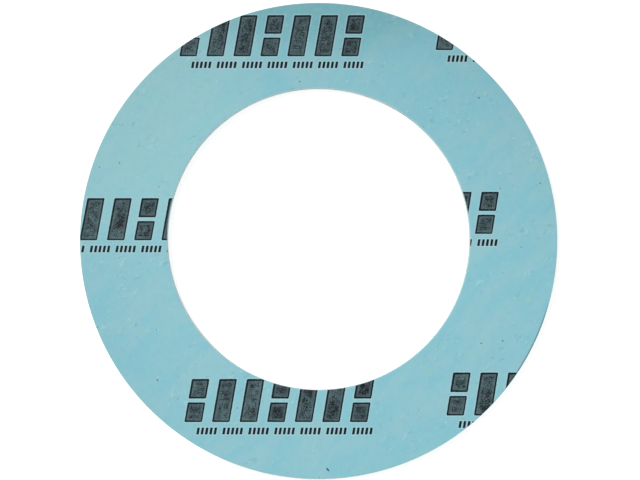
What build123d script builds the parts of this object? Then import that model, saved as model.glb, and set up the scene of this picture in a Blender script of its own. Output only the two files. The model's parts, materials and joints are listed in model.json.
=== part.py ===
from build123d import *

import os

# Flat ring gasket for a DN 80 pipe flange, knife-cut from compressed fibre sheet.
#
# The ring lies on its lower face and sits inside the flange's ring of bolts, so it has no bolt holes.
# Origin: centre of the lower face. +Z points up through the ring, out of the printed face.
# Units: millimetres.

# Driving dimensions
outer_diameter = 142.0  # the rim, which the flange bolts centre
bore_diameter = 90.0  # clears the bore of the pipe
sheet_thickness = 2.0  # the sheet as it is rolled
roll_width = 0.35  # how far in from each cut the knife drew the upper face down
roll_depth = 0.15  # and how far down the cut wall that roll reaches
exit_bevel = 0.10  # loose fibre rubbed off where the knife came out of the lower face

# Worked out from the driving dimensions
outer_radius = outer_diameter / 2
bore_radius = bore_diameter / 2
roll_foot = sheet_thickness - roll_depth

# The section through the ring's wall, drawn once and turned about the ring's axis. Both cut walls
# stand straight. Above each one the upper face rolls down to it in a quarter of an ellipse, and
# below each one a small bevel leads to the lower face.
with BuildPart() as ring_gasket:
    with BuildSketch(Plane.XZ) as section:
        with BuildLine() as outline:
            lower_face = Line((bore_radius + exit_bevel, 0), (outer_radius - exit_bevel, 0))
            rim_bevel = Line(lower_face @ 1, (outer_radius, exit_bevel))
            rim_wall = Line(rim_bevel @ 1, (outer_radius, roll_foot))
            rim_roll = EllipticalCenterArc(
                center=(outer_radius - roll_width, roll_foot),
                x_radius=roll_width,
                y_radius=roll_depth,
                start_angle=0,
                arc_size=90,
            )
            bore_roll = EllipticalCenterArc(
                center=(bore_radius + roll_width, roll_foot),
                x_radius=roll_width,
                y_radius=roll_depth,
                start_angle=90,
                arc_size=90,
            )
            upper_face = Line(rim_roll @ 1, bore_roll @ 0)
            bore_wall = Line(bore_roll @ 1, (bore_radius, exit_bevel))
            bore_bevel = Line(bore_wall @ 1, lower_face @ 0)
        make_face()
    revolve(axis=Axis.Z)

ring_gasket.part.label = "ring_gasket"

os.makedirs("parts", exist_ok=True)
export_step(ring_gasket.part, "parts/ring_gasket.step")
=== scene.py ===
"""A flat ring gasket lying face up on a white table, seen from almost straight above."""

import json
import math

import bpy
import numpy as np
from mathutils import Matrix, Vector


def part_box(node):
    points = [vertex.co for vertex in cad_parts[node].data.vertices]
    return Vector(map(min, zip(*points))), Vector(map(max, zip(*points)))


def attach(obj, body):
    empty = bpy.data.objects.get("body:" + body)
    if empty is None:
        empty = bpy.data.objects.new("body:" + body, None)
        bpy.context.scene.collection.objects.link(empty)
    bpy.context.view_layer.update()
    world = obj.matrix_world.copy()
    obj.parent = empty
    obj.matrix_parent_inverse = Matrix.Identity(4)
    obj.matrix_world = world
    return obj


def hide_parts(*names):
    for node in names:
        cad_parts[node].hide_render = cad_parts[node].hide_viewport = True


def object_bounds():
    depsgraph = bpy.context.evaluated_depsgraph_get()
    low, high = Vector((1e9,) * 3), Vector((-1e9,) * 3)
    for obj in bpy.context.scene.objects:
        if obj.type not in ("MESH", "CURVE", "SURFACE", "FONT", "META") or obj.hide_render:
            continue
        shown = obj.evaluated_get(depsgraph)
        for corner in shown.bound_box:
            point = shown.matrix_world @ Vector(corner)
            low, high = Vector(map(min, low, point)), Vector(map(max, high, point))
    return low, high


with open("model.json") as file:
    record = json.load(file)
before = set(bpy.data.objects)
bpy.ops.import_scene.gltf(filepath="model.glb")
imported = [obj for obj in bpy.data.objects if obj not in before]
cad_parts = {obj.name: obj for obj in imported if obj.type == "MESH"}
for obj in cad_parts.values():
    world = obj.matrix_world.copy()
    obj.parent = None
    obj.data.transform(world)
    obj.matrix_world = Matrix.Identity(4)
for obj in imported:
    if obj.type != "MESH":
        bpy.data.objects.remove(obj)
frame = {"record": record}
cad_low, cad_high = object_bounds()

# ---- Camera ------------------------------------------------------------------------------------
# Hangs over the ring and looks down, from a little on the near side of upright. The ring fills the
# height of the picture.
picture_width = 0.1902  # metres across the picture, at the level of the ring's upper face
camera_distance = 0.330
camera_lean = math.radians(4.0)  # off upright, towards the near side
camera_target = Vector((0.00041, -0.00077, cad_high[2]))

camera_data = bpy.data.cameras.new("camera")
camera_data.sensor_width = 36.0  # millimetres, as is the lens
camera_data.lens = camera_data.sensor_width * camera_distance / picture_width
camera = bpy.data.objects.new("camera", camera_data)
bpy.context.collection.objects.link(camera)
camera.location = camera_target + camera_distance * Vector(
    (0, -math.sin(camera_lean), math.cos(camera_lean))
)
camera.rotation_euler = (camera_lean, 0, 0)
bpy.context.scene.camera = camera

# ---- Ring gasket -------------------------------------------------------------------------------
# One ring of compressed fibre sheet: aramid fibre and filler bound with rubber, dyed turquoise and
# rolled flat, then printed with ink. A knife cut the ring out from the printed side, which drew
# that face down at the rim and the bore.
mm_per_metre = 1000.0
ring_mounts = {mount["name"]: mount for mount in frame["record"]["mounts"]}
rim_radius = ring_mounts["rim"]["dims"]["r_mm"] / mm_per_metre
bore_radius = ring_mounts["bore"]["dims"]["r_mm"] / mm_per_metre
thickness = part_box("ring_gasket")[1].z
roll_width = 0.00035  # how far in from each cut the upper face starts to roll down
roll_depth = 0.00015  # how far down the wall the roll reaches
roll_steps = 5
exit_bevel = 0.00010  # where the knife came out of the lower face
steps_round = 1024  # facets in a full turn
hair = 0.000001  # too small to see, for telling places apart

bpy.ops.object.select_all(action="DESELECT")
bpy.ops.mesh.primitive_plane_add(size=1, rotation=(math.pi / 2, 0, 0))
ring = bpy.context.object
ring.name = "fibre_ring"
ring.scale = (rim_radius - bore_radius, thickness, 1)
ring.location = ((rim_radius + bore_radius) / 2, 0, thickness / 2)
bpy.ops.object.transform_apply(location=True, rotation=True, scale=True)


def select_points(piece, wanted):
    """In edit mode, selects the points whose spot passes the test, and what lies between them."""
    bpy.ops.object.mode_set(mode="OBJECT")
    points = piece.data.vertices
    for point in points:
        point.select = bool(wanted(point.co))
    for edge in piece.data.edges:
        edge.select = all(points[i].select for i in edge.vertices)
    for face in piece.data.polygons:
        face.select = all(points[i].select for i in face.vertices)
    bpy.ops.object.mode_set(mode="EDIT")


# The section through the ring's wall: both upper corners rolled over, both lower ones bevelled.
select_points(ring, lambda spot: spot.z > thickness / 2)
bpy.ops.mesh.bevel(
    offset=roll_width, offset_type="OFFSET", segments=roll_steps, affect="VERTICES"
)
select_points(ring, lambda spot: spot.z > thickness / 2)
bpy.ops.transform.resize(value=(1, 1, roll_depth / roll_width), center_override=(0, 0, thickness))
select_points(ring, lambda spot: spot.z < hair)
bpy.ops.mesh.bevel(offset=exit_bevel, offset_type="OFFSET", segments=1, affect="VERTICES")
bpy.ops.mesh.select_all(action="SELECT")
bpy.ops.mesh.delete(type="ONLY_FACE")

# Points along its straight sides, to carry the relief, and then a full turn about the ring's axis.
for cuts, side in (
    (34, lambda spot: spot.z > thickness - hair),  # the upper face
    (20, lambda spot: spot.z < hair),  # the lower face
    (6, lambda spot: spot.x > rim_radius - hair),  # the wall of the rim
    (6, lambda spot: spot.x < bore_radius + hair),  # the wall of the bore
):
    select_points(ring, side)
    bpy.ops.mesh.subdivide(number_cuts=cuts)
bpy.ops.object.mode_set(mode="OBJECT")
turn = ring.modifiers.new("turn", "SCREW")
turn.steps = turn.render_steps = steps_round
turn.use_merge_vertices = True
turn.merge_threshold = hair
bpy.ops.object.modifier_apply(modifier=turn.name)
bpy.ops.object.mode_set(mode="EDIT")
bpy.ops.mesh.select_all(action="SELECT")
bpy.ops.mesh.normals_make_consistent(inside=False)
bpy.ops.object.mode_set(mode="OBJECT")

# Relief that is only ever pressed inwards: slow waves left by the rolls on both faces, finer ones
# drawn out along the run of the fibre, and torn fibre on the two cut walls.
fibre_run = math.radians(42)  # the way the sheet went through the rolls
fibre_stretch = 4  # how many times longer along the fibre the pressed fibre's waves are
flat_margin = 0.0008  # how near to a cut the faces' relief begins to fade out
sharp_bend = math.radians(35)  # the mesh is smooth except at sharper bends than this

places = np.empty(len(ring.data.vertices) * 3)
ring.data.vertices.foreach_get("co", places)
places = places.reshape(-1, 3)
radii = np.hypot(places[:, 0], places[:, 1])
from_cut = np.minimum(rim_radius - radii, radii - bore_radius)
on_wall = (from_cut < hair) & (places[:, 2] > exit_bevel + hair)
on_wall &= places[:, 2] < thickness - roll_depth - hair
zones = {"faces": np.clip(from_cut / flat_margin, 0, 1), "walls": on_wall.astype(float)}
for zone, weights in zones.items():
    group = ring.vertex_groups.new(name=zone)
    for i in np.flatnonzero(weights):
        group.add([int(i)], float(weights[i]), "REPLACE")

bpy.ops.object.empty_add(rotation=(0, 0, fibre_run))
fibre_axes = bpy.context.object
fibre_axes.scale = (fibre_stretch, 1, 1)
bpy.context.view_layer.update()
bpy.context.view_layer.objects.active = ring
for name, zone, lump_size, depth, along_fibre in (
    ("roller waves", "faces", 0.0060, 0.000020, False),
    ("pressed fibre", "faces", 0.0012, 0.000010, True),
    ("torn fibre", "walls", 0.0005, 0.000050, False),
):
    texture = bpy.data.textures.new(name, "CLOUDS")
    texture.noise_scale = lump_size
    texture.noise_depth = 2
    relief = ring.modifiers.new(name, "DISPLACE")
    relief.texture = texture
    relief.vertex_group = zone
    relief.strength = depth
    relief.mid_level = 1.0
    if along_fibre:
        relief.texture_coords = "OBJECT"
        relief.texture_coords_object = fibre_axes
    bpy.ops.object.modifier_apply(modifier=relief.name)
bpy.data.objects.remove(fibre_axes)
ring.vertex_groups.clear()
bpy.ops.object.select_all(action="DESELECT")
ring.select_set(True)
bpy.ops.object.shade_smooth_by_angle(angle=sharp_bend)

# The ring laid out flat, for the picture that its finish is baked to: the printed face with both
# cut walls folded out beside it, and the lower face, made smaller, inside the hole.
lower_share = 0.58  # the lower face's scale in the layout, beside the printed face's
layout_radius = 0.495  # of a layout 1 wide, so that a narrow margin is left round it
layout_scale = layout_radius / (rim_radius + thickness)
facing_down = -0.3  # a facet with a normal whose z is below this is on the lower face

layout = ring.data.uv_layers.new(name="OFBake")
corner_points = np.empty(len(ring.data.loops), np.int64)
ring.data.loops.foreach_get("vertex_index", corner_points)
face_corners = np.empty(len(ring.data.polygons), np.int64)
ring.data.polygons.foreach_get("loop_total", face_corners)
face_normals = np.empty(len(ring.data.polygons) * 3)
ring.data.polygons.foreach_get("normal", face_normals)
faces_down = np.repeat(face_normals.reshape(-1, 3)[:, 2] < facing_down, face_corners)
corners = places[corner_points]
corner_radii = radii[corner_points]
fold = np.sign(corner_radii - (rim_radius + bore_radius) / 2) * (thickness - corners[:, 2])
laid_radii = np.where(faces_down, corner_radii * lower_share, corner_radii + fold)
laid = 0.5 + corners[:, :2] * (laid_radii / corner_radii)[:, None] * layout_scale
layout.data.foreach_set("uv", laid.ravel())


def tone(red, green, blue):
    """A colour given as a screen shows it, from 0 to 255, made linear by the sRGB curve."""
    shown = [part / 255 for part in (red, green, blue)]
    return tuple(s / 12.92 if s <= 0.04045 else ((s + 0.055) / 1.055) ** 2.4 for s in shown) + (1,)


class Paint:
    """One output in a material. Sums on it add Math nodes, and `node` adds any other node."""

    def __init__(self, socket):
        self.socket = socket
        self.tree = socket.id_data

    def node(self, kind, settings, sockets, output=0):
        """A new node's output. A socket's value is a number, a vector, a colour or a link."""
        added = self.tree.nodes.new(kind)
        for name, setting in settings.items():
            setattr(added, name, setting)
        for name, value in sockets.items():
            if isinstance(value, Paint):
                self.tree.links.new(value.socket, added.inputs[name])
            else:
                added.inputs[name].default_value = value
        return Paint(added.outputs[output])

    def math(self, operation, *others):
        values = dict(enumerate((self, *others)))
        return self.node("ShaderNodeMath", {"operation": operation}, values)

    def __add__(self, other):
        return self.math("ADD", other)

    def __sub__(self, other):
        return self.math("SUBTRACT", other)

    def __rsub__(self, other):
        return self.node("ShaderNodeMath", {"operation": "SUBTRACT"}, {0: other, 1: self})

    def __mul__(self, other):
        return self.math("MULTIPLY", other)

    def __truediv__(self, other):
        return self.math("DIVIDE", other)

    __radd__ = __add__
    __rmul__ = __mul__

    def rise(self, low, high):
        """0 at low and 1 at high, with a smooth run between; low may be the larger."""
        return self.node(
            "ShaderNodeMapRange",
            {"interpolation_type": "SMOOTHSTEP"},
            {"Value": self, "From Min": low, "From Max": high},
        )

    def mix(self, without, full):
        """A colour: without where this is 0, and full where it is 1."""
        return self.node(
            "ShaderNodeMix",
            {"data_type": "RGBA"},
            {"Factor": self, 6: without, 7: full},  # 6 and 7 are the node's two colour inputs
            output=2,
        )

    def noise(self, size, detail=2.0, roughness=0.5, warp=0.0):
        """Cloudy values from 0 to 1 over a place in millimetres, in lumps of about that size."""
        return self.node(
            "ShaderNodeTexNoise",
            {},
            {
                "Vector": self,
                "Scale": 1 / size,
                "Detail": detail,
                "Roughness": roughness,
                "Distortion": warp,
            },
        )

    def scatter(self, spacing, share):
        """The distance in millimetres from the nearest of some scattered points.

        Only that share of the points is kept. The distances from each one are divided by a size of
        its own, from 0.6 to 1.6, so that the spots drawn with them differ.
        """
        smallest = 0.6
        flat = {"voronoi_dimensions": "2D"}
        sockets = {"Vector": self, "Scale": 1 / spacing}
        near = self.node("ShaderNodeTexVoronoi", flat, sockets) * spacing
        lot = self.node("ShaderNodeTexVoronoi", flat, sockets, output=1)
        left_out = lot.node("ShaderNodeSeparateColor", {}, {0: lot}).math("GREATER_THAN", share)
        size = lot.node("ShaderNodeSeparateColor", {}, {0: lot}, output=1) + smallest
        return near / size + left_out * spacing


# The ring's finish follows the place on it, in millimetres.
sheet = bpy.data.materials.new("printed_fibre_sheet")
sheet.use_nodes = True
shader = sheet.node_tree.nodes["Principled BSDF"]
coordinates = Paint(sheet.node_tree.nodes.new("ShaderNodeTexCoord").outputs["Object"])
place = coordinates.node(
    "ShaderNodeVectorMath", {"operation": "SCALE"}, {0: coordinates, "Scale": mm_per_metre}
)
x, y, z = (place.node("ShaderNodeSeparateXYZ", {}, {0: place}, output=i) for i in range(3))
upper_level = thickness * mm_per_metre


def drawn_out(stretch, shift=0.0, aside=0.0):
    """The place in millimetres, with what is drawn on it stretched along the fibre's run."""
    return place.node(
        "ShaderNodeMapping",
        {"vector_type": "TEXTURE"},
        {
            "Vector": place,
            "Location": (shift + aside, shift - aside, 0.0),
            "Rotation": (0.0, 0.0, fibre_run),
            "Scale": (stretch, 1.0, 1.0),
        },
    )


def mark(middle, length, width, turn):
    """0 outside and 1 inside an oval mark in the upper face, with a soft edge."""
    laid_along = place.node(
        "ShaderNodeMapping",
        {"vector_type": "TEXTURE"},
        {
            "Vector": place,
            "Location": (*middle, upper_level),
            "Rotation": (0.0, 0.0, math.radians(turn)),
            "Scale": (length / 2, width / 2, 1.0),
        },
    )
    from_middle = laid_along.node(
        "ShaderNodeVectorMath", {"operation": "LENGTH"}, {0: laid_along}, output=1
    )
    return from_middle.rise(1.2, 0.5)


def laid_over(colour, *coats):
    """The colour under coats of others, each with where it lies and how strongly it covers."""
    for where, strength, coat in coats:
        colour = (where * strength).mix(colour, coat)
    return colour


# The sheet's own colour is faintly clouded where fibre and filler lie unevenly: teal to grey, and
# in smaller patches a little greener or pinker. Its skin is creased in patches, the creases painted
# darker as shade, and has raised lumps painted pale as highlights, each with a hollow beside it
# painted dark as shade. Small raised beads are painted pale as glints, and dark specks and undyed
# tufts are scattered over it.
teal_tone = tone(134, 193, 205)
grey_tone = tone(145, 195, 204)
green_tone = tone(136, 198, 200)
pink_tone = tone(145, 190, 210)
upper_left_tone = tone(156, 203, 206)
# painted shade for the far side
far_side_shade_tone = tone(111, 172, 180)
# a darker tone, and also the painted shade in the creases and hollows
dark_and_shade_tone = tone(96, 152, 166)
# a paler tone, and also the painted highlight on the lumps
pale_and_highlight_tone = tone(170, 212, 219)
# painted glint on the beads
glint_tone = tone(184, 220, 224)
tuft_tone = tone(154, 202, 187)
speck_tone = tone(30, 52, 64)
hollow_aside = 0.38  # from its lump, across the fibre: the hollow and its painted shade

cloud = drawn_out(2.1).noise(5.5, detail=4.0, roughness=0.46, warp=0.6).rise(0.34, 0.66)
tint = drawn_out(1.3, shift=40.0).noise(2.4, detail=3.0, roughness=0.6)
shade = place.noise(1.5, detail=3.0, roughness=0.6)
in_patches = drawn_out(1.5, shift=90.0).noise(5.0, roughness=0.55).rise(0.46, 0.60)
crease_waves = drawn_out(3.0, shift=20.0).noise(2.4, detail=1.5)
crease_line = (crease_waves - 0.5).math("ABSOLUTE").rise(0.05, 0.0)
crease_spans = place.noise(2.2, detail=1.0).rise(0.52, 0.66)
# The creases are pressed in, and also painted darker as shade.
crease_with_shade = crease_line * crease_spans * in_patches
# Raised lumps in the worked patches, painted pale as highlights, and beside each a hollow painted
# dark as its shade.
lump_with_highlight, beside_lump = (
    drawn_out(1.4, shift=10.0, aside=aside).noise(1.5, roughness=0.55).rise(0.60, 0.68) * in_patches
    for aside in (0.0, hollow_aside)
)
hollow_with_shade = beside_lump * (1 - lump_with_highlight)
# Small raised beads, each painted pale as a glint.
bead_with_glint = place.scatter(3.4, share=0.08).rise(0.27, 0.06)
speck = place.scatter(6.0, share=0.11).rise(0.22, 0.04)
tuft = drawn_out(1.6, shift=70.0).scatter(8.0, share=0.10).rise(1.0, 0.2)
big_tuft = mark((62.0, -18.7), length=3.6, width=2.2, turn=70)
splinter = mark((2.7, -68.2), length=1.4, width=0.55, turn=131)  # dark, on the near side
# A broad patch over the upper left, paler and a little warmer.
paler_upper_left = mark((-51.0, 32.0), length=84.0, width=62.0, turn=60)
far_side_shade = mark((0.0, 75.0), length=90.0, width=42.0, turn=-2)  # painted shade, darkening the sheet along the far side
rim_shade = mark((62.3, -33.1), length=30.0, width=8.0, turn=62)  # painted shade along a stretch of the rim at the near right

colour = laid_over(
    cloud.mix(teal_tone, grey_tone),
    (paler_upper_left, 0.44, upper_left_tone),
    # painted shade along the far side
    (far_side_shade, 0.62, far_side_shade_tone),
    (tint.rise(0.50, 0.70), 0.30, green_tone),
    (tint.rise(0.50, 0.30), 0.30, pink_tone),
    (shade.rise(0.50, 0.75), 0.10, pale_and_highlight_tone),
    (shade.rise(0.50, 0.25), 0.08, dark_and_shade_tone),
    # painted highlight on the lumps, and painted shade in the hollows and creases
    (lump_with_highlight, 0.36, pale_and_highlight_tone),
    (hollow_with_shade, 0.10, dark_and_shade_tone),
    (crease_with_shade, 0.32, dark_and_shade_tone),
    # painted glints on the beads
    (bead_with_glint, 0.45, glint_tone),
    (tuft, 0.30, tuft_tone),
    (big_tuft * shade.rise(0.25, 0.70), 0.75, tuft_tone),
    (speck.math("MAXIMUM", splinter), 0.95, speck_tone),
)

# The cut: the skin is drawn thin over the rolled edge, and the wall is pale, partly from the undyed
# fibre and partly as painted light that lifts it out of its shade.
drawn_tone = tone(172, 200, 202)
# painted shade for a stretch of the rim
rim_shade_tone = tone(58, 104, 116)
# paler than the sheet: partly undyed fibre, partly painted light against the wall's shade
wall_tone = tone(178, 214, 216)
lit_fibre_tone = tone(216, 232, 228)
layer_squash = (1.0, 1.0, 4.0)  # the wall's fibre lies in layers, much thinner than they are wide

radius = (x * x + y * y).math("SQRT")
to_rim = rim_radius * mm_per_metre - radius
to_bore = radius - bore_radius * mm_per_metre
to_cut = to_rim.math("MINIMUM", to_bore)
drawn_thin = to_cut.rise(0.40, 0.10)
cut = to_cut.rise(0.12, 0.02)
layers = place.node(
    "ShaderNodeVectorMath", {"operation": "MULTIPLY"}, {0: place, 1: layer_squash}
).noise(0.45, detail=3.0, roughness=0.6)
wall_colour = layers.rise(0.30, 0.75).mix(wall_tone, lit_fibre_tone)
colour = laid_over(
    colour,
    (drawn_thin, 0.3, drawn_tone),
    # painted shade along a stretch of the rim
    (rim_shade * to_rim.rise(0.60, 0.20), 0.8, rim_shade_tone),
)

# The printing, in slate ink: the same band of slanted bars with a line of short ticks under it,
# over and over. Each column of it stands a little higher than the last, and each row is about half
# a column along.
first_band = (-11.5, -48.1)  # the middle of the bars of one band
column_step = (77.0, 1.9)
row_step = (-39.7, 53.55)
slant = 0.17  # sideways run of a bar for each millimetre of its height
bar_count = 7
bar_pitch = 8.1
bar_width = 5.2
bar_height = 12.6
bar_corner = 0.35
bar_split = 1.1  # the gap halfway up a split bar
split_every = 3  # bars
tick_drop = 8.9  # from the middle of the bars down to the middle of the ticks
tick_shift = 1.5  # how far the line of ticks stands to the right of the bars
tick_count = 41
tick_pitch = 1.27
tick_width = 0.76
tick_height = 2.0
tick_corner = 0.1
ticks_to_a_group = 5
ragged_size = 0.35  # of the lumps along an edge of the ink
ragged_depth = 0.16  # from the top of a lump to the foot
soft_edge = 0.06  # an edge of the ink is soft this far to each side of its line

rise_of_row = column_step[1] / column_step[0]
row_height = row_step[1] - rise_of_row * row_step[0]
along = x - first_band[0]
up = y - first_band[1]
row = ((up - along * rise_of_row) / row_height).math("ROUND")
column = ((along - row * row_step[0]) / column_step[0]).math("ROUND")
across_band = along - row * row_step[0] - column * column_step[0]
up_band = up - row * row_step[1] - column * column_step[1]
upright = across_band - up_band * slant
ragged = place.noise(ragged_size) * ragged_depth - ragged_depth / 2


def nearest_of(across, count, pitch):
    """Which of an odd count of like things, in a row about 0, is nearest, from the middle one."""
    last = (count - 1) // 2
    return (across / pitch).math("ROUND").math("MAXIMUM", -last).math("MINIMUM", last)


def outside_bar(aside, above, corner):
    """How far outside a rounded bar a place is, from how far it is past its sides and ends."""
    aside_out = (aside + corner).math("MAXIMUM", 0.0)
    above_out = (above + corner).math("MAXIMUM", 0.0)
    out = (aside_out * aside_out + above_out * above_out).math("SQRT")
    return out + (aside.math("MAXIMUM", above) + corner).math("MINIMUM", 0.0) - corner


# A count from a row's middle is made positive before it is divided into groups.
bar = nearest_of(upright, bar_count, bar_pitch)
right_of_bar = upright - bar * bar_pitch
past_bar_sides = right_of_bar.math("ABSOLUTE") - bar_width / 2
past_bar_ends = up_band.math("ABSOLUTE") - bar_height / 2
into_split = bar_split / 2 - up_band.math("ABSOLUTE")
bar_of_group = (bar + split_every * bar_count).math("MODULO", split_every)
is_whole = 1 - bar_of_group.math("LESS_THAN", 0.5)
past_bar_ends = past_bar_ends.math("MAXIMUM", into_split - is_whole * bar_height)
bars = outside_bar(past_bar_sides, past_bar_ends, bar_corner) + ragged

upright_ticks = upright - tick_drop * slant - tick_shift
tick = nearest_of(upright_ticks, tick_count, tick_pitch)
past_tick_sides = (upright_ticks - tick * tick_pitch).math("ABSOLUTE") - tick_width / 2
past_tick_ends = (up_band + tick_drop).math("ABSOLUTE") - tick_height / 2
tick_of_group = (tick + (tick_count + 1) // 2).math("MODULO", ticks_to_a_group + 1)
is_gap = tick_of_group.math("LESS_THAN", 0.5)
ticks = outside_bar(past_tick_sides, past_tick_ends, tick_corner) + ragged * 0.5
ticks = ticks + is_gap * tick_pitch

# The ink pooled along the edges of a bar, a little wider at its left and its top, and left a
# thinner strip inside them. Round every mark the sheet is a little paler. The rest of the ink thins
# towards a band's left end, and is worn in clouds, in mottles and in grains.
outline_width = 0.52
outline_lean = 0.15  # how much wider it is at the left and the top than at the right and below
outline_soft = 0.07
lining_starts, lining_ends = 0.20, 0.90  # inside the outline
bared_starts, bared_ends = 0.10, 0.50  # outside the ink
ink_full, ink_gone = 0.12, 0.20  # how far down the rolled edge the ink reaches
mean_wear = 0.36
wear_to_right = -0.0035  # what each millimetre adds to it
dense_ink_tone = tone(4, 16, 22)
thin_ink_tone = tone(90, 116, 120)
rusty_ink_tone = tone(80, 66, 82)
edge_ink_tone = tone(0, 20, 34)
bared_tone = tone(166, 203, 207)

on_upper_face = z.rise(upper_level - ink_gone, upper_level - ink_full)
bar_ink = bars.rise(soft_edge, -soft_edge) * on_upper_face
tick_ink = ticks.rise(soft_edge, -soft_edge) * on_upper_face
edge_side = (up_band / bar_height - right_of_bar / bar_width) * outline_lean
outside_core = bars + edge_side + outline_width
outline = outside_core.rise(-outline_soft, outline_soft)
lining = outside_core.rise(-lining_ends, -lining_starts)
bared = bars.math("MINIMUM", ticks).rise(bared_ends, bared_starts) * on_upper_face
rusty = place.noise(2.2).rise(0.46, 0.70)
wear = mean_wear + across_band * wear_to_right
for size, strength in ((6.0, 1.0), (1.3, 1.3), (0.4, 2.3)):
    wear = wear + (place.noise(size, detail=1.0) - 0.5) * strength
ink_colour = laid_over(
    wear.mix(dense_ink_tone, thin_ink_tone),
    (rusty, 0.20, rusty_ink_tone),
    (lining, 0.45, thin_ink_tone),
    (outline, 1.0, edge_ink_tone),
)
colour = laid_over(
    colour,
    (bared, 0.75, bared_tone),
    (bar_ink, 1.0, ink_colour),
    (tick_ink, 1.0, edge_ink_tone),
    (cut, 1.0, wall_colour),
)

# The skin's fine relief, in millimetres, which the mesh is too coarse to carry, and its dull sheen.
grain = place.noise(0.28, detail=3.0, roughness=0.6)
height = grain * 0.004
for where, raised_by in (
    (lump_with_highlight, 0.036),
    (hollow_with_shade, -0.010),
    (crease_with_shade, -0.034),
    (bead_with_glint, 0.015),
    (cut * layers, 0.050),
    (bar_ink, 0.004),
):
    height = height + where * raised_by
bump = height.node(
    "ShaderNodeBump", {}, {"Height": height, "Distance": 1 / mm_per_metre, "Strength": 1.0}
)
skin_roughness = 0.38
grain_roughness = 0.10  # how far it varies with the grain
cut_roughness = 0.35  # how much rougher the cut wall is
roughness = skin_roughness + (grain - 0.5) * grain_roughness + cut * cut_roughness

shader.inputs["Specular IOR Level"].default_value = 0.15
sheet.node_tree.links.new(colour.socket, shader.inputs["Base Color"])
sheet.node_tree.links.new(roughness.socket, shader.inputs["Roughness"])
sheet.node_tree.links.new(bump.socket, shader.inputs["Normal"])
ring.data.materials.append(sheet)

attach(ring, "root")
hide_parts("ring_gasket")

# ---- Table -------------------------------------------------------------------------------------
# A plain white table top under the ring, far wider than the picture. It shows as white, and keeps
# the ring's soft shadow.
table_width = 6.0
table_grey = 0.85


def as_background(nodes, lighting, shown):
    """A grey: shown to the eye and in reflections, and lighting wherever it lights the ring."""
    ray = nodes.new("ShaderNodeLightPath")
    seen = Paint(ray.outputs["Is Camera Ray"])
    for other in ("Is Glossy Ray", "Is Transmission Ray"):
        seen = seen.math("MAXIMUM", Paint(ray.outputs[other]))
    return seen.mix((lighting, lighting, lighting, 1.0), (shown, shown, shown, 1.0))


bpy.ops.object.select_all(action="DESELECT")
bpy.ops.mesh.primitive_plane_add(size=table_width)
table = bpy.context.object
table.name = "table"
table_paint = bpy.data.materials.new("white_table")
table_paint.use_nodes = True
table_shader = table_paint.node_tree.nodes["Principled BSDF"]
table_shader.inputs["Base Color"].default_value = (table_grey, table_grey, table_grey, 1)
table_shader.inputs["Roughness"].default_value = 0.9
table_shader.inputs["Specular IOR Level"].default_value = 0.0
table_shader.inputs["Emission Strength"].default_value = 1.0
table_glow = as_background(table_paint.node_tree.nodes, lighting=0.0, shown=0.48)
table_paint.node_tree.links.new(table_glow.socket, table_shader.inputs["Emission Color"])
table.data.materials.append(table_paint)

# ---- Lights ------------------------------------------------------------------------------------
# A lamp at the upper left, whose soft beam fades towards the far side of the ring, a weaker soft
# box on the near side, and a pale room. Nothing stands where the ring would mirror it.
world = bpy.data.worlds.new("room")
bpy.context.scene.world = world
world.use_nodes = True
room_tree = world.node_tree
room_light = as_background(room_tree.nodes, lighting=0.473, shown=1.0)
room_tree.links.new(room_light.socket, room_tree.nodes["Background"].inputs["Color"])


def hang(name, kind, target, away, settings):
    """A light of that kind, that far away from its target and facing it."""
    light = bpy.data.lights.new(name, kind)
    for setting, value in settings.items():
        setattr(light, setting, value)
    lamp = bpy.data.objects.new(name, light)
    bpy.context.collection.objects.link(lamp)
    lamp.location = Vector(target) + Vector(away)
    lamp.rotation_euler = (-Vector(away)).to_track_quat("-Z", "Y").to_euler()


lamp_away = (-1.20, 0.90, 1.61)
beam_radius = 0.1562  # where it meets the ring
beam_angle = 2 * math.atan(beam_radius / Vector(lamp_away).length)
hang(
    "upper_left_lamp",
    "SPOT",
    target=(0.023, -0.040, 0.0),
    away=lamp_away,
    settings={
        "spot_size": beam_angle,
        "spot_blend": 1.0,
        "shadow_soft_size": 0.02,
        "energy": 111.0,
    },
)
hang(
    "near_box",
    "AREA",
    target=(0.0, 0.0, 0.0),
    away=(0.50, -1.20, 1.50),
    settings={"shape": "SQUARE", "size": 0.6, "energy": 5.9},
)

bpy.context.scene.view_settings.view_transform = "Standard"
